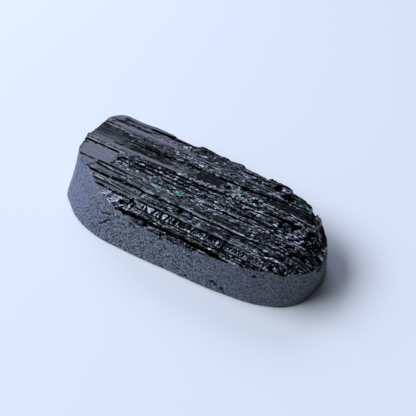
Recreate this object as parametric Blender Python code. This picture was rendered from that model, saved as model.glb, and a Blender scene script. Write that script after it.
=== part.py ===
"""Rough-top black tourmaline: a ribbed crystal, ground flat underneath and round its side.

The stone is one solid. A raw crystal with lengthwise ribs is intersected with a ground blank,
a low slab with an oval outline whose side leans in more at one end than at the other.
The ribs run along X, the flat underside is at z = 0, and all sizes are in metres.
"""

import math

import bmesh
import bpy
from mathutils import Vector, noise

MM = 0.001

# The stone as a whole
LENGTH = 44.7 * MM
WIDTH = 19.7 * MM
BLANK_HEIGHT = 10.0 * MM

# Corner points of the oval underside, in millimetres, counter-clockwise from the right tip
OUTLINE = (
    (22.3, 1.0), (21.8, 3.6), (19.9, 5.9), (16.2, 7.8), (10.8, 9.0), (3.3, 9.6),
    (-5.7, 9.8), (-13.7, 9.85), (-17.6, 9.85), (-20.2, 8.75), (-21.7, 5.2), (-22.4, -0.5),
    (-20.7, -5.0), (-18.2, -6.9), (-14.8, -8.7), (-10.2, -9.75), (-4.9, -9.75), (2.6, -9.2),
    (11.8, -8.35), (17.3, -7.0), (20.5, -4.9), (22.0, -1.8),
)
OUTLINE_STEPS = 8

# The ground side leans in by the least lean all round, and by more about three corners.
# Each corner has its direction from the middle, how far the lean spreads clockwise of it,
# how far it spreads the other way, and the lean there.
LEAN_LEAST = math.radians(0.8)
LEAN_CORNERS = (
    (math.radians(230.0), math.radians(41.0), math.radians(21.0), math.radians(30.0)),
    (math.radians(35.0), math.radians(24.0), math.radians(24.0), math.radians(9.0)),
    (math.radians(318.0), math.radians(22.0), math.radians(22.0), math.radians(4.0)),
)
FOOT_BEVEL = 0.25 * MM

# Crests and grooves across the crystal, front to back, as (y, z) in millimetres
RIBS = (
    (-12.6, 5.3), (-9.6, 6.4), (-8.4, 6.65), (-8.1, 6.6), (-7.95, 6.4), (-7.5, 6.5),
    (-7.2, 6.85), (-6.7, 6.75), (-6.3, 6.9), (-5.8, 7.0), (-5.6, 6.7), (-5.2, 7.1),
    (-4.4, 7.15), (-4.0, 7.1), (-3.75, 6.75), (-3.4, 7.15), (-3.0, 7.3), (-2.4, 6.95),
    (-2.05, 7.3), (-1.85, 7.15), (-1.6, 7.4), (0.0, 7.5), (0.9, 7.6), (1.2, 7.3),
    (1.5, 7.6), (2.5, 7.7), (2.75, 7.45), (3.0, 7.25), (4.3, 7.25), (5.7, 7.5),
    (6.5, 7.8), (7.2, 7.85), (7.55, 7.6), (8.0, 7.8), (8.35, 7.5), (8.75, 7.3),
    (9.05, 7.75), (9.35, 7.7), (9.6, 7.0), (9.75, 6.0), (9.9, 4.8), (10.2, 3.0),
)
RIB_STATIONS = 58
CRYSTAL_OVERHANG = 1.5 * MM
CRYSTAL_DEPTH = 2.0 * MM

# The ribs of the back half swing towards the front over the length of the stone
RIB_SWING = 0.9 * MM
SWING_FROM_Y = 0.0 * MM

# Ribs break off and start again in steps along their length
STEP_HEIGHT = 0.16 * MM
STEP_PITCH = 7.0 * MM
WAVE_HEIGHT = 0.14 * MM
WAVE_PITCH = 16.0 * MM

# The fractured hollow in the middle and the broken right end
HOLLOW_CENTRE = (-2.2 * MM, 0.3 * MM)
HOLLOW_REACH = (11.0 * MM, 2.0 * MM)
HOLLOW_DEPTH = 0.4 * MM
BREAK_FROM_X = 15.3 * MM
BREAK_DEPTH = 0.8 * MM
BREAK_PITCH = 2.2 * MM
BREAK_ROUGHNESS = 0.7

SHARP_ANGLE = math.radians(25.0)
STONE_COLOUR = (0.016, 0.018, 0.024, 1.0)
STONE_ROUGHNESS = 0.35


def clear_scene():
    for item in list(bpy.data.objects):
        bpy.data.objects.remove(item, do_unlink=True)


def new_collection(name):
    group = bpy.data.collections.new(name)
    bpy.context.scene.collection.children.link(group)
    return group


def add_object(name, bm, group):
    mesh = bpy.data.meshes.new(name)
    bm.to_mesh(mesh)
    bm.free()
    item = bpy.data.objects.new(name, mesh)
    group.objects.link(item)
    return item


def stone_material():
    material = bpy.data.materials.new("black_tourmaline")
    material.use_nodes = True
    shader = material.node_tree.nodes["Principled BSDF"]
    shader.inputs["Base Color"].default_value = STONE_COLOUR
    shader.inputs["Roughness"].default_value = STONE_ROUGHNESS
    shader.inputs["Metallic"].default_value = 0.0
    return material


def smooth_step(value):
    value = min(max(value, 0.0), 1.0)
    return value * value * (3.0 - 2.0 * value)


# ---------------------------------------------------------------- the ground blank

def outline_ring():
    """Points of the underside's outline, read from a closed Bezier curve with automatic handles."""
    curve = bpy.data.curves.new("underside_outline", "CURVE")
    curve.resolution_u = OUTLINE_STEPS
    spline = curve.splines.new("BEZIER")
    spline.bezier_points.add(len(OUTLINE) - 1)
    spline.use_cyclic_u = True
    for point, (x, y) in zip(spline.bezier_points, OUTLINE):
        point.co = (x * MM, y * MM, 0.0)
        point.handle_left_type = "AUTO"
        point.handle_right_type = "AUTO"
    guide = bpy.data.objects.new("underside_outline", curve)
    bpy.context.scene.collection.objects.link(guide)
    bpy.context.view_layer.update()
    mesh = bpy.data.meshes.new_from_object(guide.evaluated_get(bpy.context.evaluated_depsgraph_get()))
    ring = [vertex.co.copy() for vertex in mesh.vertices]
    bpy.data.objects.remove(guide, do_unlink=True)
    bpy.data.curves.remove(curve)
    bpy.data.meshes.remove(mesh)
    return ring


def wall_lean(point):
    """How far the side leans in above one point of the outline."""
    around = math.atan2(point.y / WIDTH, point.x / LENGTH)
    lean = LEAN_LEAST
    for direction, spread_before, spread_after, amount in LEAN_CORNERS:
        apart = math.remainder(around - direction, 2.0 * math.pi)
        spread = spread_after if apart > 0.0 else spread_before
        lean += amount * math.exp(-0.5 * (apart / spread) ** 2)
    return lean


def inward(ring, index):
    """Unit vector that points into the outline, square to it, at one of its points."""
    along = ring[(index + 1) % len(ring)] - ring[index - 1]
    return Vector((-along.y, along.x, 0.0)).normalized()


def ground_blank(group):
    """The slab that the grinding wheel leaves: flat underneath, with a leaning side."""
    ring = outline_ring()
    bm = bmesh.new()
    foot = bm.faces.new([bm.verts.new(point) for point in ring])
    side = bmesh.ops.extrude_face_region(bm, geom=[foot])
    top = [item for item in side["geom"] if isinstance(item, bmesh.types.BMVert)]
    bm.verts.ensure_lookup_table()
    for vertex in top:
        index = min(range(len(ring)), key=lambda i: (ring[i] - vertex.co).length_squared)
        shift = inward(ring, index) * math.tan(wall_lean(ring[index])) * BLANK_HEIGHT
        vertex.co = ring[index] + shift + Vector((0.0, 0.0, BLANK_HEIGHT))
    bmesh.ops.recalc_face_normals(bm, faces=bm.faces)
    rim = [edge for edge in bm.edges if max(end.co.z for end in edge.verts) < BLANK_HEIGHT / 2.0]
    bmesh.ops.bevel(bm, geom=rim, offset=FOOT_BEVEL, segments=1, affect="EDGES")
    blank = add_object("ground_blank", bm, group)
    blank.hide_render = True
    blank.display_type = "WIRE"
    return blank


# ---------------------------------------------------------------- the raw crystal

def rib_wander(x, row):
    """Slow rise and fall of one rib, with steps where it breaks off and starts again."""
    wave = noise.noise(Vector((x / WAVE_PITCH, row * 0.37, 4.0)))
    step = round(2.0 * noise.noise(Vector((x / STEP_PITCH, row * 1.91, 11.0)))) / 2.0
    return WAVE_HEIGHT * wave + STEP_HEIGHT * step


def hollow(x, y):
    """Depth of the fractured hollow in the middle of the face."""
    away = math.hypot((x - HOLLOW_CENTRE[0]) / HOLLOW_REACH[0], (y - HOLLOW_CENTRE[1]) / HOLLOW_REACH[1])
    return HOLLOW_DEPTH * smooth_step(2.0 - 2.0 * away)


def broken_end(x, y):
    """Depth of the rough break that crosses the ribs at the right end."""
    amount = smooth_step((x - BREAK_FROM_X) / (LENGTH / 2.0 - BREAK_FROM_X))
    rough = noise.noise(Vector((x / BREAK_PITCH, y / BREAK_PITCH, 7.0)))
    return BREAK_DEPTH * amount * (1.0 + BREAK_ROUGHNESS * rough)


def rib_swing(x, y):
    """Sideways drift of the ribs, which fan out slightly over the length."""
    along = (x + LENGTH / 2.0) / LENGTH
    return -RIB_SWING * along * smooth_step((y - SWING_FROM_Y) / (WIDTH / 2.0 - SWING_FROM_Y))


def raw_crystal(group):
    """The crystal before grinding: a ribbed face, carried down to a block below the underside."""
    rows = len(RIBS) - 1
    reach = LENGTH / 2.0 + CRYSTAL_OVERHANG
    bm = bmesh.new()
    bmesh.ops.create_grid(bm, x_segments=RIB_STATIONS, y_segments=rows, size=1.0)
    face = list(bm.faces)
    for vertex in bm.verts:
        row = round((vertex.co.y + 1.0) / 2.0 * rows)
        x = vertex.co.x * reach
        y = RIBS[row][0] * MM
        z = RIBS[row][1] * MM
        z += rib_wander(x, row) - hollow(x, y) - broken_end(x, y)
        vertex.co = (x, y + rib_swing(x, y), z)
    block = bmesh.ops.extrude_face_region(bm, geom=face)
    for item in block["geom"]:
        if isinstance(item, bmesh.types.BMVert):
            item.co.z = -CRYSTAL_DEPTH
    bmesh.ops.dissolve_limit(
        bm, angle_limit=math.radians(0.1), verts=bm.verts[:],
        edges=[edge for edge in bm.edges if max(end.co.z for end in edge.verts) < 0.0],
    )
    bmesh.ops.recalc_face_normals(bm, faces=bm.faces)
    crystal = add_object("tourmaline_crystal", bm, group)
    return crystal


def build_stone():
    clear_scene()
    stone_group = new_collection("tourmaline_crystal")
    cutter_group = new_collection("cutters")
    blank = ground_blank(cutter_group)
    stone = raw_crystal(stone_group)
    stone.data.materials.append(stone_material())
    stone.data.shade_smooth()
    stone.data.set_sharp_from_angle(angle=SHARP_ANGLE)
    grind = stone.modifiers.new("ground_to_shape", "BOOLEAN")
    grind.operation = "INTERSECT"
    grind.solver = "EXACT"
    grind.object = blank


build_stone()
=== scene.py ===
import math
from itertools import product

import bpy
import numpy as np
from bpy.props import FloatProperty, FloatVectorProperty, PointerProperty
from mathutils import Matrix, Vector
from mathutils.bvhtree import BVHTree


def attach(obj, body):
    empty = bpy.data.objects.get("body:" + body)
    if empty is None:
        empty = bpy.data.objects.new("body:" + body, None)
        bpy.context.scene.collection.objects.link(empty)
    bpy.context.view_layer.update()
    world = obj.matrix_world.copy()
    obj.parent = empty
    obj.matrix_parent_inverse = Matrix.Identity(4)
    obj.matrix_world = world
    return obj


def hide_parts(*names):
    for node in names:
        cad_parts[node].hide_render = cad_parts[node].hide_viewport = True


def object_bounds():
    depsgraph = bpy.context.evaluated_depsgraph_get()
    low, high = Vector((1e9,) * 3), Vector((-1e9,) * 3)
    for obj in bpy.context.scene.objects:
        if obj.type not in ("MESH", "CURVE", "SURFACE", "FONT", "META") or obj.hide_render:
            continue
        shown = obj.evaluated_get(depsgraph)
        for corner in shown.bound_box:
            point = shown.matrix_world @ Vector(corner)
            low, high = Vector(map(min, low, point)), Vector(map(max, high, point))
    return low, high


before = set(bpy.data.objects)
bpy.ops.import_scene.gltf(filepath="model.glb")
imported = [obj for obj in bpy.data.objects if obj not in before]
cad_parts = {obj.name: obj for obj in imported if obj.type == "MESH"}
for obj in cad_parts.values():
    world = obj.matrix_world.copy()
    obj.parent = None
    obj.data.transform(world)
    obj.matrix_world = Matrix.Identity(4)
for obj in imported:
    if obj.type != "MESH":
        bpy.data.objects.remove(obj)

bl_info = {
    "name": "Black Tourmaline Stone",
    "version": (1, 0, 0),
    "blender": (4, 5, 0),
    "location": "View3D > Sidebar > Stone",
    "description": "A ribbed black crystal, ground matte round its side and flat underneath",
    "category": "Object",
}

MM = 0.001
SOLID = "tourmaline_crystal"
START_BOUNDS = [list(corner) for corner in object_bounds()]
LOW = [value / MM for value in START_BOUNDS[0]]
HIGH = [value / MM for value in START_BOUNDS[1]]
LENGTH = HIGH[0] - LOW[0]
TOP = HIGH[2]

# Every shape below is in millimetres: x runs along the ribs, y across them and z up.
# What is added, cut or darkened at one place of the stone is a row of a table.

# The natural face is worked out on a grid: its spacing, how far it goes past the outline, how far
# the raw crystal goes down below the underside, and how far the face stays under the CAD's top
CELL_X = 0.125
CELL_Y = 0.074
FACE_MARGIN = 0.8
FACE_DEPTH = 2.0
TOP_GAP = 0.02

# Slope from which the face counts as steep and gets painted shade in place of its glints and reflections,
# and how much more makes it fully dark
STEEP_FROM = 0.36
STEEP_OVER = 0.22
SHARP_ANGLE = math.radians(36.0)
FEWEST_FACES = 1000

# Broad cross-section of the natural face, front to back, as (y, z)
PROFILE = (
    (-13, 5.3), (-9.6, 6.3), (-8.3, 6.62), (-7.4, 6.72), (-6.5, 6.9), (-5.5, 6.96), (-5, 7), (-4, 7.12),
    (-3.4, 7.12), (-2.2, 7.34), (-1.4, 7.34), (0.2, 7.46), (1.4, 7.56), (2.62, 7.62), (2.95, 7.2),
    (4.3, 7.36), (5.8, 7.66), (6.5, 7.74), (7.3, 7.78), (8.2, 7.76), (9, 7.66), (9.55, 7.52), (9.72, 6.8),
    (9.9, 4.9), (10.3, 3),
)

# The ribs swing to the front over the length of the stone: how far, and from where and over what
# distance towards the back the swing sets in
SWING = 0.9
SWING_FROM = 1.5
SWING_OVER = 6.0

# The fine grain, along and across the ribs. Splinters: length, pitch, height step, lean, gap, seed.
# Grains: length and width, or for crumbs the length for one width, then height step, tilt, seed.
RIB_LENGTH = 8.0
SLIVERS = (2.4, 0.36, 0.03, 0.2, 0.09, 21)
DASHES = (0.75, 0.25, 0.045, 0.34, 0.055, 31)
CRUMB_LENGTH = 2.8
CRUMBS = (0.045, 0.4, 41)
BLOCKS = (2.2, 0.5, 0.08, 0.25, 61)
GAP_DEPTH = 0.07

# Whole numbers that scatter the repeatable values, and a distance past any cell centre
HASH_X, HASH_Y, HASH_SEED = 374761393, 668265263, 974634777
HASH_FIRST, HASH_SECOND = 1274126177, 1911520717
HASH_BITS = 0xFFFFFFFF
FAR = 99.0
RIM_BLOCK = 20000


# ---- patterns

def hashed(i, j, seed):
    """Repeatable values from 0 to 1 for whole-number places."""
    n = (i.astype(np.int64) * HASH_X + j.astype(np.int64) * HASH_Y + seed * HASH_SEED) & HASH_BITS
    n = ((n ^ (n >> 13)) * HASH_FIRST) & HASH_BITS
    n = ((n ^ (n >> 16)) * HASH_SECOND) & HASH_BITS
    return ((n ^ (n >> 15)) & 0xFFFFFF) / float(0x1000000)


def ease(t):
    """Smooth rise from 0 to 1 while t goes from 0 to 1."""
    t = np.clip(t, 0, 1)
    return t * t * (3 - 2 * t)


def mix(a, b, t):
    """a where t is 0, b where it is 1."""
    return a + (b - a) * t


def between_rows(rows, at):
    """Value at a place between the rows of a table of (place, value)."""
    return np.interp(at, *zip(*rows))


def wavy(x, y, seed):
    """Smooth gradient noise, about -1 to 1."""
    i, j = np.floor(x), np.floor(y)
    fx, fy = x - i, y - j
    ux, uy = ease(fx), ease(fy)

    def corner(a, b):
        turn = 2 * np.pi * hashed(i + a, j + b, seed)
        return np.cos(turn) * (fx - a) + np.sin(turn) * (fy - b)

    low = mix(corner(0, 0), corner(1, 0), ux)
    high = mix(corner(0, 1), corner(1, 1), ux)
    return 1.5 * mix(low, high, uy)


def cells(x, y, seed):
    """Nearest of scattered cell centres: offsets from it, its own number, and the gap to the next cell."""
    i, j = np.floor(x), np.floor(y)
    best, second = np.full(x.shape, FAR), np.full(x.shape, FAR)
    dx, dy, own = np.zeros(x.shape), np.zeros(x.shape), np.zeros(x.shape)
    for a, b in product((-1, 0, 1), repeat=2):
        ci, cj = i + a, j + b
        px = x - ci - hashed(ci, cj, seed)
        py = y - cj - hashed(ci, cj, seed + 1)
        away = px * px + py * py
        closer = away < best
        second = np.where(closer, best, np.minimum(second, away))
        best = np.where(closer, away, best)
        dx, dy = np.where(closer, px, dx), np.where(closer, py, dy)
        own = np.where(closer, hashed(ci, cj, seed + 2), own)
    return dx, dy, own, np.sqrt(second) - np.sqrt(best)


def again(own, number):
    """Another value from 0 to 1 for the same cell."""
    return np.mod(own * (913 + 37 * number) + 0.137 * number, 1)


def span(x, start, end, soft):
    """1 between start and end, easing to 0 over the soft length at both."""
    return ease((x - start) / soft + 0.5) * ease((end - x) / soft + 0.5)


def courses(t, lane, seed):
    """Uneven intervals along t: the number of the one that holds each place, and its two ends."""
    number = np.floor(t)

    def end(k):
        return k + 0.8 * (hashed(k, lane, seed) - 0.5)

    number = number - (t < end(number)) + (t >= end(number + 1))
    return number, end(number), end(number + 1)


def bricks(x, y, length, pitch, seed):
    """Uneven rows of uneven pieces that lie along x.

    Gives the offsets from each piece's middle, its own number, its row, and how far a place
    is inside its long edges and its short edges.
    """
    row, front, back = courses(y / pitch, np.zeros(x.shape), seed)
    place = x / length + 7 * hashed(row, row * 0, seed + 1)
    piece, left, right = courses(place, row, seed + 2)
    own = hashed(piece, row, seed + 3)
    dx = (place - 0.5 * (left + right)) * length
    dy = (y / pitch - 0.5 * (front + back)) * pitch
    long_edge = np.minimum(y / pitch - front, back - y / pitch) * pitch
    short_edge = np.minimum(place - left, right - place) * length
    return dx, dy, own, row, long_edge, short_edge


def splinters(x, y, length, pitch, step, lean, gap, seed):
    """Splinters that lie along x: their heights and the painted shade of the gaps between them."""
    dx, dy, own, row, long_edge, short_edge = bricks(x, y, length, pitch, seed)
    rise = lean * (2 * again(own, 2) - 1)
    along_x = (2 * again(own, 1) - 1) * min(2 * step / length, 0.2)
    height = (own - 0.5) * 2 * step + rise * dy + along_x * dx
    kept = again(hashed(row, row * 0 + 5, seed + 7), 1)
    dark = ease(1 - long_edge / gap) * ease(1.6 * kept - 0.2)
    dark = np.maximum(dark, ease(1 - short_edge / gap) * (again(own, 8) > 0.5))
    return height, dark


def grains(x, y, size_x, size_y, step, tilt, seed):
    """Broken grains: their heights and the painted shade of the gaps between them."""
    dx, dy, own, gap = cells(x / size_x, y / size_y, seed)
    lean_x = (2 * again(own, 1) - 1) * tilt
    lean_y = (2 * again(own, 2) - 0.7) * tilt
    height = (own - 0.5) * 2 * step + lean_x * dx * size_x + lean_y * dy * size_y
    return height, ease(1 - gap / 0.25)


# ---- the natural face

# Smooth grown faces: x from, x to, front edge and back edge at x from, the same two at x to, height
# step, slope in the middle, change of slope per millimetre, share of the rough detail that is kept
FACETS = (
    (-20.8, -12.6, -1.95, 1, -1.95, 0.95, 0, 0, 0, 0),
    (-19.4, -15.2, -3.25, -2.05, -3.3, -2.05, 0, 0.02, 0, 0),
    (-15, -9.8, -3.35, -2.65, -3.3, -2.6, 0, -0.02, 0, 0),
    (-21.5, -3, 1.85, 2.7, 1.95, 2.7, 0, 0.04, 0, 0.2),
    (-22.5, -13, 2.9, 6.1, 3, 5.9, -0.06, 0.185, 0.07, 0.1),
    (-14.5, -5, 3.1, 5.9, 3, 5.6, -0.08, 0.25, 0.04, 0.5),
    (-6, -0.2, 3, 4.5, 3, 4.5, -0.06, 0.24, 0.03, 0.4),
    (-0.2, 4.4, 2.95, 4.6, 2.95, 4.5, -0.1, 0.3, 0, 0.05),
    (-21.5, -4, 6.62, 7.35, 6.45, 7.1, 0.03, 0.05, 0, 0.25),
    (-22, -4, 9, 9.66, 8.98, 9.66, 0.03, 0, 0, 0.1),
    (-10.2, -5.5, -4.75, -4.45, -4.75, -4.4, 0, 0.14, 0, 0),
    (-13.2, -5.3, -5.42, -5.08, -5.42, -5.05, 0, 0, 0, 0),
    (-4, 16, -5.2, -4.95, -5.2, -4.95, 0, 0.02, 0, 0.4),
    (-8, 12, -3.1, -2.25, -3.05, -2.25, -0.03, 0.2, 0, 0.4),
    (11.3, 19.3, 3.75, 4.7, 3.55, 4.72, -0.12, 0.28, 0, 0.15),
    (-4, 6.5, 6.25, 6.85, 6, 6.6, 0.02, 0.06, 0, 0.45),
    (5.5, 11, 5.75, 6.3, 5.7, 6.2, 0.02, 0.06, 0, 0.45),
    (12.4, 14.6, -5.95, -5.4, -5.9, -5.35, 0.04, -0.03, 0, 0.1),
)

# Narrow clefts, cut and darkened with painted shade: x from, x to, y at both, width, depth. All are cut
# deeper by the one factor.
CLEFT_DEPTH = 1.3
CLEFTS = (
    (-18.5, -12, 8.66, 8.6, 0.4, 0.1), (-12.5, -3, 8.6, 8.4, 0.6, 0.3),
    (-20.6, -11.3, 7.6, 7.55, 0.22, 0.14), (-21, -16.5, 6.45, 6.45, 0.14, 0.08),
    (-21, -15.5, 5.9, 5.85, 0.2, 0.1), (-16.2, -5.3, 2.95, 3, 0.62, 0.34),
    (-20.6, -5, 1.74, 1.8, 0.12, 0.08), (-20.4, -12.9, 1.22, 1.15, 0.28, 0.3),
    (-20.4, -19.2, 0.75, 0.6, 0.3, 0.22), (-19.6, -15, -2, -2.02, 0.09, 0.05),
    (-18.2, -14.8, -3.42, -3.5, 0.16, 0.12), (-14.9, -5.8, -1.92, -1.82, 0.2, 0.2),
    (-15.15, -11.3, -2.4, -2.55, 0.32, 0.3), (-11.5, -8, -2.6, -2.55, 0.2, 0.14),
    (-15.1, -10.6, -3.76, -3.82, 0.4, 0.34), (-10.8, -1.9, -3.72, -3.62, 0.26, 0.3),
    (-10.8, -4, -3.42, -3.38, 0.1, 0.08), (-13.6, -5, -5, -4.98, 0.12, 0.12),
    (-12.7, -9.5, -5.62, -5.7, 0.24, 0.2), (-9.8, -4.8, -5.72, -5.74, 0.3, 0.3),
    (-6.4, -4, -7.65, -7.75, 0.2, 0.26), (-7, 12.5, -7.95, -7.85, 0.28, 0.3),
    (-4.5, 11, -7.62, -7.6, 0.2, 0.2), (-4.2, 11.2, -3.66, -3.66, 0.2, 0.26),
    (2.6, 14.5, -3.7, -3.5, 0.24, 0.28), (-4.2, 1.6, -4.8, -4.78, 0.14, 0.12),
    (-4.2, 12, -5.4, -5.38, 0.17, 0.2), (-4, 16, -6.62, -6.6, 0.16, 0.14),
    (2, 15.6, -7, -7.02, 0.12, 0.1), (-4.2, 12.2, 1.68, 1.72, 0.22, 0.2),
    (-4, 9, -0.12, -0.05, 0.18, 0.14), (4, 12, -1.28, -1.25, 0.16, 0.14), (-7, -4, 4.55, 4.58, 0.24, 0.2),
    (-6.6, -3.5, 3.74, 3.78, 0.12, 0.1), (-4, 12, 4.62, 4.55, 0.22, 0.22),
    (5.4, 13.8, 7.45, 7.42, 0.3, 0.3), (12.2, 17.6, 1.75, 1.5, 0.5, 0.34),
    (11.5, 16, 2.62, 2.6, 0.14, 0.1), (11.5, 16, 3.2, 3.15, 0.14, 0.1), (9, 15.5, -0.1, -0.3, 0.16, 0.14),
    (13.2, 18, -3.4, -3.1, 0.16, 0.12), (-12.4, -6, 0.55, 0.62, 0.28, 0.22),
    (-12, -5, -0.1, -0.12, 0.2, 0.16), (-9, 3, 0.65, 0.6, 0.16, 0.14), (-9, 4, 1.28, 1.2, 0.2, 0.18),
    (-16, -6, 5.05, 4.7, 0.18, 0.12), (-12, -5, 4.45, 4.35, 0.2, 0.16), (15.5, 19, -4.3, -4, 0.2, 0.16),
)

# Raised thin edges that catch the light: x from, x to, y at both, width, height
EDGES = (
    (-21, -11.5, 8.08, 8, 0.2, 0.05), (-21, -16, 6.16, 6.16, 0.14, 0.05),
    (-20.4, -12, 1.55, 1.5, 0.16, 0.05), (-4, 5.5, 4.92, 4.95, 0.12, 0.07),
    (5, 12.5, 0.17, 0.15, 0.14, 0.07), (4, 12, -1, -1, 0.14, 0.08), (-8, 12, -3.36, -3.34, 0.1, 0.05),
    (-4, 12, -6.82, -6.8, 0.12, 0.05), (-4, 12, -7.22, -7.2, 0.14, 0.05),
    (-7, 12, -7.8, -7.74, 0.1, 0.05), (5.5, 12.5, 4.9, 4.9, 0.14, 0.07),
    (11.3, 19, 4.82, 4.85, 0.14, 0.06),
)

# Rough broken patches: centre x and y, reach in x and y, roughness, whiteness of their grain and painted
# glints
PATCHES = (
    (-9.2, 0, 3.8, 1.4, 0.6, 0.05), (-6.9, -6.75, 3.2, 0.85, 1, 2.6), (-6.6, -7.6, 2, 0.4, 0.9, 2.6),
    (-2, 0.8, 7, 1, 0.6, 0.25), (0, -1.2, 6.5, 0.7, 0.9, 1), (8.6, 3.1, 3.2, 1.05, 0.9, 1.6),
    (9, 0.9, 4, 0.7, 0.7, 0.45), (8.5, 6.9, 2.8, 0.4, 0.8, 0.5), (0.5, 7.6, 6, 0.45, 0.6, 0.1),
    (-5.5, 7.4, 3, 0.35, 0.6, 0.1), (13, 7.2, 1.4, 0.9, 0.8, 0.4), (17.2, 1, 2.4, 3.2, 0.7, 0.2),
    (17.6, -2.8, 3, 2.6, 0.85, 0.25), (14.3, -1.2, 1.4, 0.7, 0.8, 0.4),
    (-12.7, -1.1, 0.7, 0.45, 0.8, 0.8), (0.5, 2.4, 4.5, 0.4, 0.6, 0.4), (-4, 5.4, 9, 0.5, 0.4, 0.05),
    (9, 5.3, 4, 0.4, 0.5, 0.2), (-3, 8.9, 8, 0.5, 0.4, 0), (20.5, 0.5, 1.6, 3.2, 0.8, 0.25),
    (14, 2.9, 2.4, 0.7, 0.35, 0.1), (10, -6, 7, 0.5, 0.6, 0.35), (17.6, -5.4, 0.9, 0.8, 1, 0.9),
    (2.2, -0.7, 0.8, 0.5, 0.7, 0.8), (15.5, -5.2, 3, 0.9, 0.5, 0.5), (-8.8, 1.2, 0.8, 0.35, 0.7, 0.8),
    (-2.4, 1.3, 0.8, 0.3, 0.7, 0.9), (-14, 4.8, 0.7, 0.25, 0.7, 0.6), (-9, 5.4, 0.35, 0.2, 0.6, 0.6),
    (-6.7, 5.1, 0.4, 0.2, 0.6, 0.6),
)

# Strips darkened with painted shade, which makes them reflect less: x from, x to, front edge, back edge,
# amount. Their ribs rise more.
DARK_RISE = 0.08
DARK_STRIPS = (
    (-20, -13, 3.3, 6.1, 0.6), (-14.5, -4, 2.75, 6, 1), (-4.5, 4.5, 2.9, 4.7, 0.5),
    (-4, 11, 4.95, 5.95, 0.65), (-4, 11, 7, 8.3, 0.6), (-4, 12, 8.3, 9.6, 0.85), (-4, 11, 6, 7, 0.4),
    (11, 19.3, 3.7, 4.75, 0.5), (12.5, 17.6, 1, 2.2, 0.3), (-8, 12, -3.1, -2.2, 0.35),
    (-13, -4, -0.9, 1.7, 0.3), (-14, -4, -5.3, -1.7, 0.4), (-20, -4, 7.4, 8.4, 0.35),
    (-20, -4, 5.9, 6.55, 0.35), (18.6, 22.8, -4, 4, 0.75), (17.6, 21, 3.4, 6, 1),
    (-4, 12, -0.9, 1.8, 0.2),
)

# Stained places: centre x and y, reach in x and y, strength, which stain
TINTS = (
    (-4, -1.8, 0.8, 0.3, 1, "teal"), (-2.4, -1.5, 1.3, 0.26, 0.9, "teal"),
    (-0.2, -1.2, 1.7, 0.34, 1, "teal"), (1.6, -0.95, 0.8, 0.25, 0.5, "teal"),
    (10.2, 2.3, 0.45, 0.3, 0.9, "teal"), (-2.3, 1.3, 0.8, 0.3, 0.4, "teal"),
    (-8.4, 1.2, 0.7, 0.3, 0.35, "teal"), (8.3, 2.9, 2.4, 0.9, 0.15, "teal"),
    (6, 3.1, 0.9, 0.8, 0.8, "amber"), (-4.3, 3.6, 1.4, 0.5, 0.6, "amber"),
    (-2.8, 3.4, 1.3, 0.6, 0.8, "amber"),
)

# Deep broken pits, darkened with painted shade: centre x and y, reach in x and y, depth
PITS = (
    (11.7, 6.8, 0.55, 0.6, 0.75), (13.8, 5.8, 0.9, 0.55, 0.6), (-5, -6.2, 0.2, 0.8, 0.5),
    (-4.3, -6.6, 0.12, 0.45, 0.4), (2.1, -4, 0.32, 0.4, 0.5), (17.1, -5.8, 0.35, 0.4, 0.6),
    (10.3, -6.1, 0.3, 0.35, 0.35), (15.2, 0.9, 0.5, 0.6, 0.4), (19.1, -0.1, 0.2, 0.9, 0.45),
    (-12.3, 0.1, 0.35, 0.4, 0.25), (-8, 3, 0.25, 0.15, 0.2), (-0.8, -8.3, 0.35, 0.18, 0.3),
    (9.4, 3, 0.35, 0.2, 0.4), (5.2, 3.6, 0.7, 0.3, 0.3), (19.2, -3.8, 0.4, 0.5, 0.4),
    (20.2, 4, 0.6, 0.9, 0.5), (7.6, 4.4, 0.6, 0.2, 0.25), (-11.6, 0.55, 0.5, 0.16, 0.3),
    (15.8, -4.4, 0.5, 0.25, 0.35),
)

# Rises and drops of the back edge of the face and of its left edge: place along it, change in height
BACK_EDGE = (
    (-22, 0.3), (-20.3, 0.4), (-18.2, 0.35), (-17.4, 0.15), (-16, 0), (-14, 0), (-12, 0.14), (-8.6, 0.14),
    (-7.8, -0.12), (-3.4, -0.05), (-2.5, 0.38), (-1.2, 0.28), (0.4, -0.05), (0.7, 0), (1.5, 0.15),
    (2.2, 0.05), (2.6, -0.15), (5, 0), (5.3, -0.45), (9.3, -0.5), (9.9, -0.05), (12, 0.15), (13.6, 0.45),
    (13.8, -0.25), (15, -0.2), (15.6, 0), (17.3, 0), (17.5, -0.9), (18.1, -1), (18.35, 0), (19.3, 0.45),
    (19.5, -0.4), (20.2, -0.3), (22, -0.2),
)
LEFT_EDGE = ((-1.2, 0.0), (0.0, -0.5), (1.3, -0.85), (2.0, -0.5), (2.8, -0.1), (3.6, 0.0), (4.6, 0.0))

# How far in from the rim a drop, a rise and the left edge reach, and the depth of chips and of wear
EDGE_REACH = 1.0
RISE_REACH = 1.6
LEFT_REACH = 0.5
CHIP_DEPTH = 0.55
EDGE_WORN = 0.05


def from_rim(x, y, rim):
    """Distance of each place from the rim of the face."""
    flat = np.stack([x.ravel(), y.ravel()], axis=-1)
    away = [
        np.sqrt(((flat[first:first + RIM_BLOCK, None] - rim[None]) ** 2).sum(axis=-1).min(axis=1))
        for first in range(0, len(flat), RIM_BLOCK)
    ]
    return np.concatenate(away).reshape(x.shape)


def swung(x, y):
    """Place across the ribs, which swing to the front at the back of the stone."""
    return y + SWING * (x - LOW[0]) / LENGTH * ease((y - SWING_FROM) / SWING_OVER)


class Places:
    """The places of the natural face, in plan and in the crystal's own bent coordinates."""

    def __init__(self, x, y, rim):
        self.x, self.y = x, y
        self.away = from_rim(x, y, rim)
        self.across = y + 0.05 * wavy(x / 3, y / 2, 3) + 0.02 * wavy(x / 0.8, y / 0.5, 4)
        lane = swung(x, self.across)
        self.run = x + 0.16 * wavy(x / 0.5, lane / 0.25, 15)
        self.lane = lane + 0.03 * wavy(x / 0.7, lane / 0.4, 16)


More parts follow.
